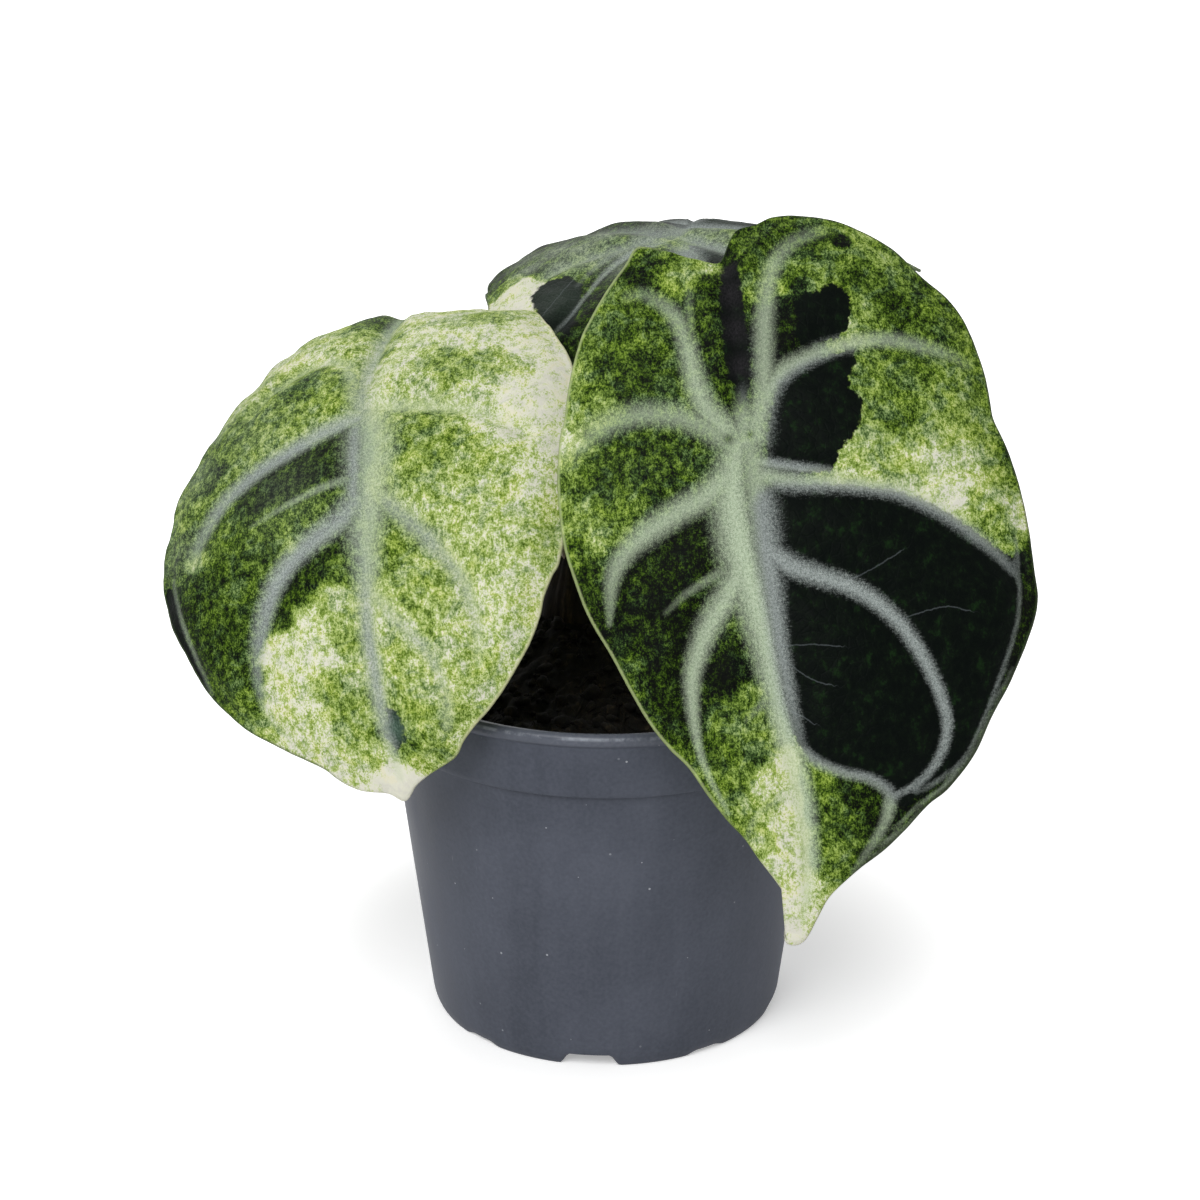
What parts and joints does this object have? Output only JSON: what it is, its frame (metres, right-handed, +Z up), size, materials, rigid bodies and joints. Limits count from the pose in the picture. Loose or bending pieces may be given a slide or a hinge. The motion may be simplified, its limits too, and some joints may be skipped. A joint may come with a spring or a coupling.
{
  "type": "potted alocasia",
  "caption": "Small potted alocasia: broad shield-shaped leaves on curved stalks from a peat-filled round nursery pot.",
  "frame": {"origin": "middle of the plant's footprint box, on the surface that the pot stands on", "axes": "+Z up, -Y towards the viewer of the front leaf's upper face, +X to that viewer's right"},
  "size_m": [0.1088, 0.1124, 0.1083],
  "materials": {
    "pot_plastic": "satin",
    "peat": "matte",
    "crown_sheath": "matte",
    "stalk": "satin",
    "blade_front": "satin",
    "blade_left": "satin",
    "blade_back": "satin"
  },
  "bodies": {
    "root": {"pot": "pot_plastic", "soil": "peat", "crown": "crown_sheath", "petiole_front": "stalk", "petiole_left": "stalk", "petiole_back": "stalk", "leaf_front": "blade_front", "leaf_left": "blade_left", "leaf_back": "blade_back"}
  },
  "joints": []
}
